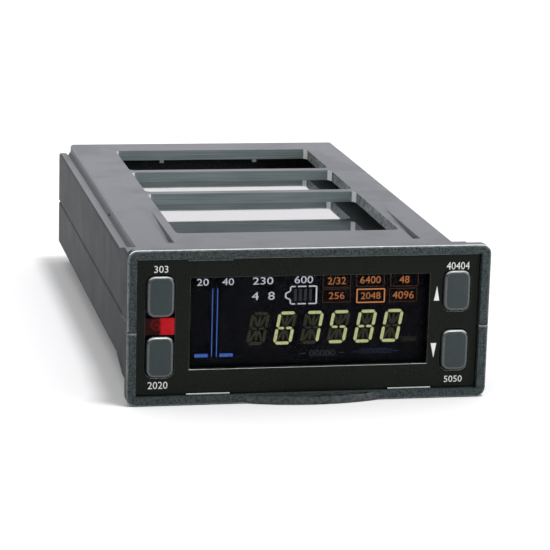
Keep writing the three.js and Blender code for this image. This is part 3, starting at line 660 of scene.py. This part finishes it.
def zone(face):
    """Which of the shell's finishes a face has."""
    depths = [v.co.y - BEZEL_FRONT for v in face.verts]
    # Tab tops and the bezel's rounded front edge take the finish with a painted highlight.
    if in_seat(face):
        return LIP if face.normal.z > LOOKING and in_seat(face, TAB_REACH) else BEZEL
    if max(depths) < BEZEL_ROUND:
        if min(depths) < -GRIP_REACH:
            return GRIP
        flat = max(abs(n) for n in face.normal) > FLAT
        beside_seam = abs(face.calc_center_median().z - SEAM_Z) < SEAM_ZONE
        return BEZEL if flat or beside_seam else LIP
    # Window walls take finishes with painted light, and their rear corners a painted highlight.
    if in_window(face):
        # Rounded corners at the back of a window take the near-white painted highlight.
        if face.normal.y < -CORNER_AHEAD and abs(face.normal.x) > CORNER_ACROSS:
            return POST
        # The right walls take the grained finish with painted light, the others the smooth one.
        return SIDE if face.normal.x < -LOOKING else WALL
    middle = face.calc_center_median()
    # The plate's underside takes the window wall finish, painted paler as if lit.
    underside = abs(middle.z - PLATE_TOP + PLATE_THICKNESS) < PLATE_PLAY
    if underside and face.normal.z < -LOOKING:
        return WALL
    # Walls beside the plate, in the groove and the slots, take the finish with painted light.
    beside_plate = middle.z > PLATE_TOP - PLATE_REACH and abs(face.normal.x) > UPRIGHT
    return LIT_GROOVE if beside_plate and abs(middle.x) < HALF_WIDTH - RAIL_WIDTH else CASE


print("finishes on a shell:", len(SHELL_FINISHES))

# %% [markdown]
# ## Three kinds of rounded edge
# The bezel's front edge has the widest radius, the long edges of the case a small one with a
# painted highlight, and the tabs that hold the panel a small one with a painted highlight. Beside
# the parting line nothing is rounded, because the two halves of a mould meet there in a sharp line.

# %% Round both shells
EDGE_RADIUS = 0.16 * MM
LONG_EDGE = 1.4 * MM
FRONT_RADIUS = 0.3 * MM
SEAM_EDGE = 0.25 * MM


def on_front(edge):
    """True for an edge of the bezel's front face."""
    return all(abs(v.co.y - BEZEL_FRONT) < NEAR for v in edge.verts)


def beside(edge, seam):
    """True for an edge that lies along the parting line at the height `seam`."""
    return all(abs(v.co.z - seam) < SEAM_EDGE for v in edge.verts)


def round_shell(node, name):
    """Makes the piece that stands for one of the two shells."""
    shell = merged_copy(node)
    front = [v.co.z for v in shell.verts if abs(v.co.y - BEZEL_FRONT) < NEAR]
    seam = min(front) if node == "upper_shell" else max(front)
    for face in shell.faces:
        face.material_index = zone(face)

    wide = round_edges(
        shell, FRONT_RADIUS, lambda e: on_front(e) and not beside(e, seam), steps=3, slot=BEZEL)
    tabs = round_edges(
        shell, EDGE_RADIUS, lambda e: e.calc_length() > LONG_EDGE and in_seat(e, TAB_REACH),
        slot=LIP)
    # The long edges take the rubbed finish, whose paler colour is a painted highlight.
    thin = round_edges(
        shell, EDGE_RADIUS,
        lambda e: e.calc_length() > LONG_EDGE and not on_front(e) and not beside(e, seam),
        slot=EDGE)
    open_edges = sum(1 for e in shell.edges if len(e.link_faces) != 2)
    make_piece(name, shell, *SHELL_FINISHES, slot="case_plastic", stands_for=(node,))
    print(name, "rounded:", wide, tabs, thin, "open edges:", open_edges)


round_shell("upper_shell", "case_upper")
round_shell("lower_shell", "case_lower")

# %% [markdown]
# ## Front panel
# The panel is a thin glossy black moulding. Its openings have a small polished radius whose
# colour is painted near white where it faces up, a painted highlight. The solid has the openings
# already, so a copy of it with rounded rims is enough.

# %% Round the panel's openings
PANEL_ROUND = 0.3 * MM
PANEL_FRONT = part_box("front_panel")[0].y
panel = merged_copy("front_panel")
# The rims take the second finish, painted near white where they face up: a painted highlight.
rim = round_edges(
    panel, PANEL_ROUND, lambda e: all(v.co.y < PANEL_FRONT + NEAR for v in e.verts), steps=3)
make_piece(
    "panel", panel, panel_plastic, rim_highlight, slot="panel_plastic",
    stands_for=("front_panel",))
print("panel edges rounded:", rim)

# %% [markdown]
# ## Button caps
# A cap is a soft block with rounded corners, a generous radius round the front and a slightly
# crowned face, on a thin skirt that keeps it from falling out. A subdivided cube would be as round,
# but bevels let us set the corner and the edge in millimetres. The edge is polished by fingers,
# so it has a finish of its own, whose colour is painted pale where it faces up: a painted
# highlight.

# %% Shape and place the caps
CORNERS = ("upper_left", "lower_left", "upper_right", "lower_right")
CAP_SKIRT = 1.1 * MM
CAP_SIZE = Vector((7.4, 0, 11.2)) * MM
CAP_CORNER = 2.2 * MM
CORNER_STEPS = 7
CAP_EDGE = 0.75 * MM
EDGE_STEPS = 5
CAP_CROWN = 0.12 * MM
CROWN_STEPS = 3
CROWN_STEP = 0.42 * MM


def cap_shape(low, high):
    """A rounded block with a crowned front face, on a thin square skirt."""
    middle = (low + high) / 2
    depth = high.y - CAP_SKIRT - low.y
    shape = bmesh.new()
    place = Matrix.Translation((middle.x, low.y + depth / 2, middle.z))
    size = Matrix.Diagonal((CAP_SIZE.x, depth, CAP_SIZE.z, 1))
    bmesh.ops.create_cube(shape, size=1, matrix=place @ size)
    posts = [e for e in shape.edges if abs(e.verts[0].co.y - e.verts[1].co.y) > depth / 2]
    bmesh.ops.bevel(
        shape, geom=posts, offset=CAP_CORNER, segments=CORNER_STEPS, profile=0.5,
        affect="EDGES", material=-1)
    front = min(shape.faces, key=lambda f: f.calc_center_median().y)
    rounded = bmesh.ops.bevel(
        shape, geom=list(front.edges), offset=CAP_EDGE, segments=EDGE_STEPS, profile=0.5,
        affect="EDGES", material=-1)
    for face in rounded["faces"]:
        face.material_index = 1
    front = min(shape.faces, key=lambda f: f.calc_center_median().y)
    for _ in range(CROWN_STEPS):
        bmesh.ops.inset_region(shape, faces=[front], thickness=CROWN_STEP)
        rise = CAP_CROWN / CROWN_STEPS
        bmesh.ops.translate(shape, verts=list(front.verts), vec=(0, -rise, 0))
    bmesh.ops.translate(shape, verts=shape.verts, vec=(0, CAP_CROWN, 0))
    skirt = Matrix.Translation((middle.x, high.y - CAP_SKIRT / 2, middle.z))
    size = Matrix.Diagonal((high.x - low.x, CAP_SKIRT, high.z - low.z, 1))
    bmesh.ops.create_cube(shape, size=1, matrix=skirt @ size)
    return shape


for corner in CORNERS:
    low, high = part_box(f"button_{corner}")
    make_piece(
        f"cap_{corner}", cap_shape(low, high), cap_rubber, cap_edge_highlight, body=f"button_{corner}",
        slot="button_rubber", stands_for=(f"button_{corner}",))
    print(corner, [round(v / MM, 2) for v in (high - low)])

# %% [markdown]
# ## Display
# Behind the smoked window lies a dark glass with luminous segments. Lit and unlit segments are
# thin printed shapes, so each one is a flat outline pushed forward a few hundredths of a
# millimetre. A painted mask could show them too, but real shapes stay crisp from close by.
# Everything that is written is a plain number, because a reusable part carries no names.

# %% Thin printed shapes on an upright plane
PRINT = 0.04 * MM
GLASS_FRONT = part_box("display_glass")[0].y
BEZEL_MIDDLE_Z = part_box("front_panel")[0].lerp(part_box("front_panel")[1], 0.5).z


def outline(shape, corners, front):
    """Adds a thin plate whose corners are (x, z) pairs in millimetres from the bezel's middle."""
    points = [(x * MM, front, BEZEL_MIDDLE_Z + z * MM) for x, z in corners]
    face = shape.faces.new([shape.verts.new(p) for p in points])
    pushed = bmesh.ops.extrude_face_region(shape, geom=[face])["geom"]
    moved = [v for v in pushed if isinstance(v, bmesh.types.BMVert)]
    bmesh.ops.translate(shape, verts=moved, vec=(0, -PRINT, 0))


def stroke(shape, start, end, width, front):
    """Adds a square-ended bar from start to end."""
    start, end = Vector(start), Vector(end)
    along = (end - start).normalized()
    across = Vector((-along.y, along.x)) * (width / 2)
    outline(shape, (start - across, end - across, end + across, start + across), front)


def pointed_stroke(shape, start, end, width, front):
    """Adds a bar whose ends are points, as display segments have."""
    start, end = Vector(start), Vector(end)
    along = (end - start).normalized() * (width / 2)
    across = Vector((-along.y, along.x))
    outline(shape, (
        start, start + along - across, end - along - across,
        end, end - along + across, start + along + across), front)


def frame_line(shape, x0, x1, z0, z1, width, front):
    """Adds four bars round a box."""
    for start, end in (
        ((x0, z0), (x1, z0)), ((x0, z1), (x1, z1)), ((x0, z0), (x0, z1)), ((x1, z0), (x1, z1)),
    ):
        stroke(shape, start, end, width, front)


def numerals(shape, text, x0, x1, z0, z1, front):
    """Writes a number that fills the box, as a thin mesh in the same plane."""
    letters = bpy.data.curves.new("numerals", "FONT")
    letters.body, letters.extrude, letters.resolution_u = text, 0.5, 3
    holder = bpy.data.objects.new("numerals", letters)
    bpy.context.scene.collection.objects.link(holder)
    bpy.context.view_layer.update()
    mesh = bpy.data.meshes.new_from_object(holder)
    bpy.data.objects.remove(holder)
    width = [v.co.x for v in mesh.vertices]
    height = [v.co.y for v in mesh.vertices]
    scale = Matrix.Diagonal((
        (x1 - x0) * MM / (max(width) - min(width)),
        (z1 - z0) * MM / (max(height) - min(height)), PRINT, 1))
    corner = Matrix.Translation((-min(width), -min(height), 0.5))
    stand = Matrix.Rotation(pi / 2, 4, "X")
    place = Matrix.Translation((x0 * MM, front, BEZEL_MIDDLE_Z + z0 * MM))
    mesh.transform(place @ stand @ scale @ corner)
    shape.from_mesh(mesh)
    bpy.data.meshes.remove(mesh)
    bpy.data.curves.remove(letters)


def printed(name, material, *parts, front=GLASS_FRONT):
    """Makes one piece of printed parts: each part is a function and what it needs."""
    shape = bmesh.new()
    for draw, *values in parts:
        draw(shape, *values, front)
    bmesh.ops.recalc_face_normals(shape, faces=shape.faces)
    return make_piece(name, shape, material)


print("glass front", round(GLASS_FRONT / MM, 2), "middle", round(BEZEL_MIDDLE_Z / MM, 2))

# %% [markdown]
# ## Colours that glow
# A lit segment gives off its own light. A dark segment and an unlit label glow too, very faintly:
# that glow is painted light, which stands in for the light that their lit neighbours throw on them
# from the side. Phosphor is never quite even, so each colour mixes a brighter and a dimmer tone.

# %% Phosphors
PHOSPHOR_GRAIN = 0.7 * MM


def glow(name, lit, dim, power):
    """A phosphor that gives off its own light, a little unevenly."""
    paint = Finish(name)
    patches = paint.ramp(paint.noise(PHOSPHOR_GRAIN, detail=2), (0.3, 0), (0.6, 1))
    tone = paint.mix(dim, lit, patches)
    return paint.surface(
        Base_Color=(0.01, 0.01, 0.01), Roughness=0.5, Emission_Color=tone,
        Emission_Strength=power, Specular_IOR_Level=0.1)


lit_phosphor = glow("lit segment", (0.66, 0.68, 0.33), (0.46, 0.48, 0.21), 1.0)
# Painted light: the unlit segments glow faintly, as if lit from the side.
unlit_phosphor = glow("unlit segment", (0.03, 0.03, 0.014), (0.014, 0.015, 0.008), 1.0)
white_phosphor = glow("white label", (0.8, 0.82, 0.92), (0.5, 0.52, 0.6), 0.95)
amber_phosphor = glow("amber label", (0.62, 0.22, 0.06), (0.4, 0.13, 0.035), 0.9)
bright_amber = glow("bright amber frame", (0.85, 0.33, 0.1), (0.6, 0.2, 0.06), 1.0)
# Painted light: the faint frames and labels glow faintly, as if lit from the side.
faint_amber = glow("faint amber frame", (0.05, 0.016, 0.006), (0.025, 0.008, 0.004), 1.0)
blue_phosphor = glow("blue meter", (0.06, 0.16, 0.6), (0.04, 0.1, 0.38), 1.0)
faint_blue = glow("faint blue label", (0.012, 0.025, 0.06), (0.008, 0.016, 0.035), 1.0)
faint_grey = glow("faint grey label", (0.03, 0.033, 0.038), (0.018, 0.02, 0.024), 1.0)
print("phosphors:", lit_phosphor.name, "and eight more")

# %% [markdown]
# ## Six slanted characters
# Each character has fourteen segments, six round the outside and eight within. We place the ends
# of all fourteen in a square from -1 to 1, scale and slant them, and sort them into lit and unlit.
# A table of ends is shorter and easier to check than a drawing of each character.

# %% Six slanted characters of fourteen segments
CHARACTERS = (" ", "6", "7", "5", "8", "0")
FIRST_CHARACTER = Vector((-13.45, -1.8))
PITCH = 7.46
CHARACTER_HALF = (2.15, 4.2)
SLANT = tan(radians(9.8))
THICK, THIN = 0.84, 0.66
SEGMENT_GAP = 0.2
ENDS = {
    "a": ((-1, 1), (1, 1)), "b": ((1, 1), (1, 0)), "c": ((1, 0), (1, -1)),
    "d": ((-1, -1), (1, -1)), "e": ((-1, 0), (-1, -1)), "f": ((-1, 1), (-1, 0)),
    "g": ((-1, 0), (0, 0)), "h": ((0, 0), (1, 0)), "i": ((-0.8, 0.88), (-0.12, 0.1)),
    "j": ((0, 0.9), (0, 0.06)), "k": ((0.8, 0.88), (0.12, 0.1)),
    "l": ((-0.12, -0.1), (-0.8, -0.88)), "m": ((0, -0.06), (0, -0.9)),
    "n": ((0.12, -0.1), (0.8, -0.88)),
}
LIT = {" ": "", "0": "abcdef", "5": "acdfgh", "6": "acdefgh", "7": "abc", "8": "abcdefgh"}


def segment(shape, middle, name):
    """Adds one slanted segment of the character round `middle`."""
    across, up = CHARACTER_HALF
    points = [Vector((x * across, z * up)) for x, z in ENDS[name]]
    points = [middle + p + Vector((p.y * SLANT, 0)) for p in points]
    gap = (points[1] - points[0]).normalized() * SEGMENT_GAP
    width = THICK if name in "abcdef" else THIN
    pointed_stroke(shape, points[0] + gap, points[1] - gap, width, GLASS_FRONT)


lit, unlit = bmesh.new(), bmesh.new()
for place, character in enumerate(CHARACTERS):
    middle = FIRST_CHARACTER + Vector((place * PITCH, 0))
    for name in ENDS:
        segment(lit if name in LIT[character] else unlit, middle, name)
for name, shape, material in (
    ("segments_lit", lit, lit_phosphor), ("segments_unlit", unlit, unlit_phosphor),
):
    bmesh.ops.recalc_face_normals(shape, faces=shape.faces)
    print(name, "faces:", len(shape.faces))
    make_piece(name, shape, material)

# %% [markdown]
# ## Labels and meters
# Round the characters stand small printed labels, a battery symbol and two level meters. Labels of
# one colour make one piece, because they are printed in one pass on the real glass. Widths, like
# places, are in millimetres here.

# %% The amber labels
AMBER_LABELS = (
    ("2/32", 5.5, 10.6, 10.1, 12.1), ("6400", 14.6, 20.3, 10.2, 12.2),
    ("48", 25.6, 28.4, 10.1, 12.1), ("256", 5.9, 10.3, 6.0, 7.9),
    ("2048", 14.9, 20.4, 5.8, 7.7), ("4096", 23.8, 29.8, 5.7, 7.8),
)
CHOSEN_LABEL = "2048"
FRAME_HALF = (3.85, 1.85)
FAINT_LINE, BRIGHT_LINE = 0.22, 0.3


def frame_round(label, width):
    """The box that frames a label, as a part for `printed`."""
    _, x0, x1, z0, z1 = label
    x, z = (x0 + x1) / 2, (z0 + z1) / 2
    across, up = FRAME_HALF
    return (frame_line, x - across, x + across, z - up, z + up, width)


printed("labels_amber", amber_phosphor, *[(numerals, *label) for label in AMBER_LABELS])
printed("frames_faint", faint_amber, *[
    frame_round(label, FAINT_LINE) for label in AMBER_LABELS if label[0] != CHOSEN_LABEL])
printed("frame_bright", bright_amber, *[
    frame_round(label, BRIGHT_LINE) for label in AMBER_LABELS if label[0] == CHOSEN_LABEL])
print("amber labels:", [label[0] for label in AMBER_LABELS])

# %% The white labels and the battery
BATTERY_LINE, BATTERY_END, BATTERY_BAR = 0.34, 0.4, 0.75
BATTERY_LOW, BATTERY_HIGH = 4.9, 9.75

printed(
    "labels_white", white_phosphor,
    (numerals, "20", -30.5, -27.3, 10.5, 12.4), (numerals, "40", -23.6, -20.4, 10.5, 12.4),
    (numerals, "230", -15.2, -9.6, 10.5, 12.5), (numerals, "4", -15.4, -13.5, 6.2, 8.4),
    (numerals, "8", -10.9, -9.1, 6.2, 8.4), (numerals, "600", -3.7, 1.4, 10.6, 12.6),
)
long_sides = [
    (stroke, (x0, z), (x1, z), BATTERY_LINE)
    for z in (BATTERY_HIGH, BATTERY_LOW)
    for x0, x1 in ((-4.6, -3.4), (-2.7, -0.4), (0.3, 2.4))
]
printed(
    "battery_outline", white_phosphor, *long_sides,
    (stroke, (2.45, BATTERY_LOW), (2.45, BATTERY_HIGH), BATTERY_END),
    (stroke, (-4.75, 9.6), (-4.75, 8.5), BATTERY_LINE),
    (stroke, (-4.75, 6.1), (-4.75, 5.0), BATTERY_LINE),
    (stroke, (-4.9, 8.4), (-5.9, 8.0), BATTERY_LINE),
    (stroke, (-4.9, 6.2), (-5.9, 6.6), BATTERY_LINE),
    (stroke, (-6.05, 8.0), (-6.05, 6.6), BATTERY_END),
)
printed("battery_bars", faint_grey, *[
    (stroke, (x, 5.7), (x, 9.0), BATTERY_BAR) for x in (-3.4, -2.0, -0.6, 0.8)])
print("white labels done, battery strokes:", len(long_sides) + 6)

# %% The level meters and the faint labels
METER_LINE, METER_FOOT, DASH = 0.24, 0.9, 0.3

printed(
    "level_meters", blue_phosphor,
    (stroke, (-26.15, 9.6), (-26.15, -9.4), METER_LINE),
    (stroke, (-24.8, 9.6), (-24.8, -9.4), METER_LINE),
    (stroke, (-30.8, -9.0), (-27.2, -9.0), METER_FOOT),
    (stroke, (-23.9, -9.0), (-20.3, -9.0), METER_FOOT),
)
printed(
    "labels_faint", faint_grey,
    (stroke, (-1.6, -9.1), (-0.2, -9.1), DASH), (numerals, "00000", 1.0, 8.2, -10.0, -8.2),
    (stroke, (9.4, -9.1), (10.8, -9.1), DASH),
)
printed(
    "labels_faint_blue", faint_blue,
    (stroke, (13.2, -9.0), (14.4, -9.0), DASH), (numerals, "0000000", 15.0, 24.2, -9.7, -8.1),
    (stroke, (24.8, -9.0), (26.0, -9.0), DASH),
)
printed("unit_mark", unlit_phosphor, (numerals, "000", 26.7, 30.9, -6.4, -5.0))
print("meters and faint labels done")

# %% [markdown]
# ## Marks on the panel
# Two white arrowheads and four numbered legends are screen-printed on the black panel. Ink lies a
# few hundredths of a millimetre thick, so it is made in the same way as the display's labels.

# %% Print the panel
white_ink = moulded_plastic(
    "white ink", (0.72, 0.72, 0.7), (0.85, 0.85, 0.83), 0.5, depth=0.002 * MM)
printed(
    "arrow_up", white_ink, (outline, ((34.6, 5.8), (36.1, 5.8), (35.35, 9.9))),
    front=PANEL_FRONT)
printed(
    "arrow_down", white_ink, (outline, ((34.2, -6.2), (35.8, -6.2), (35.1, -10.3))),
    front=PANEL_FRONT)
printed(
    "legends", white_ink,
    (numerals, "303", -42.7, -38.9, 15.1, 17.0), (numerals, "2020", -44.0, -38.6, -17.0, -15.0),
    (numerals, "40404", 37.8, 44.3, 14.4, 16.5), (numerals, "5050", 38.4, 43.5, -17.4, -15.6),
    front=PANEL_FRONT)
print("panel printed")

# %% [markdown]
# ## Contacts at the rear
# The board's tongue is an edge connector: rows of gold-plated fingers lie on both faces. A row is
# one thin plate that is copied at an even pitch, so it is quick to make and easy to change.

# %% Lay the gold fingers
FINGERS, FINGER_PITCH = 16, 2 * MM
FINGER = Vector((1.2, 9, 0.035)) * MM
TONGUE_SETBACK = 0.6 * MM
board_low, board_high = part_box("main_board")
fingers = bmesh.new()
for height in (board_low.z, board_high.z):
    for index in range(FINGERS):
        x = (index - (FINGERS - 1) / 2) * FINGER_PITCH
        place = Matrix.Translation((x, board_high.y - TONGUE_SETBACK - FINGER.y / 2, height))
        size = Matrix.Diagonal((*FINGER, 1))
        bmesh.ops.create_cube(fingers, size=1, matrix=place @ size)
make_piece("contact_fingers", fingers, gold)
print("contact fingers:", 2 * FINGERS)
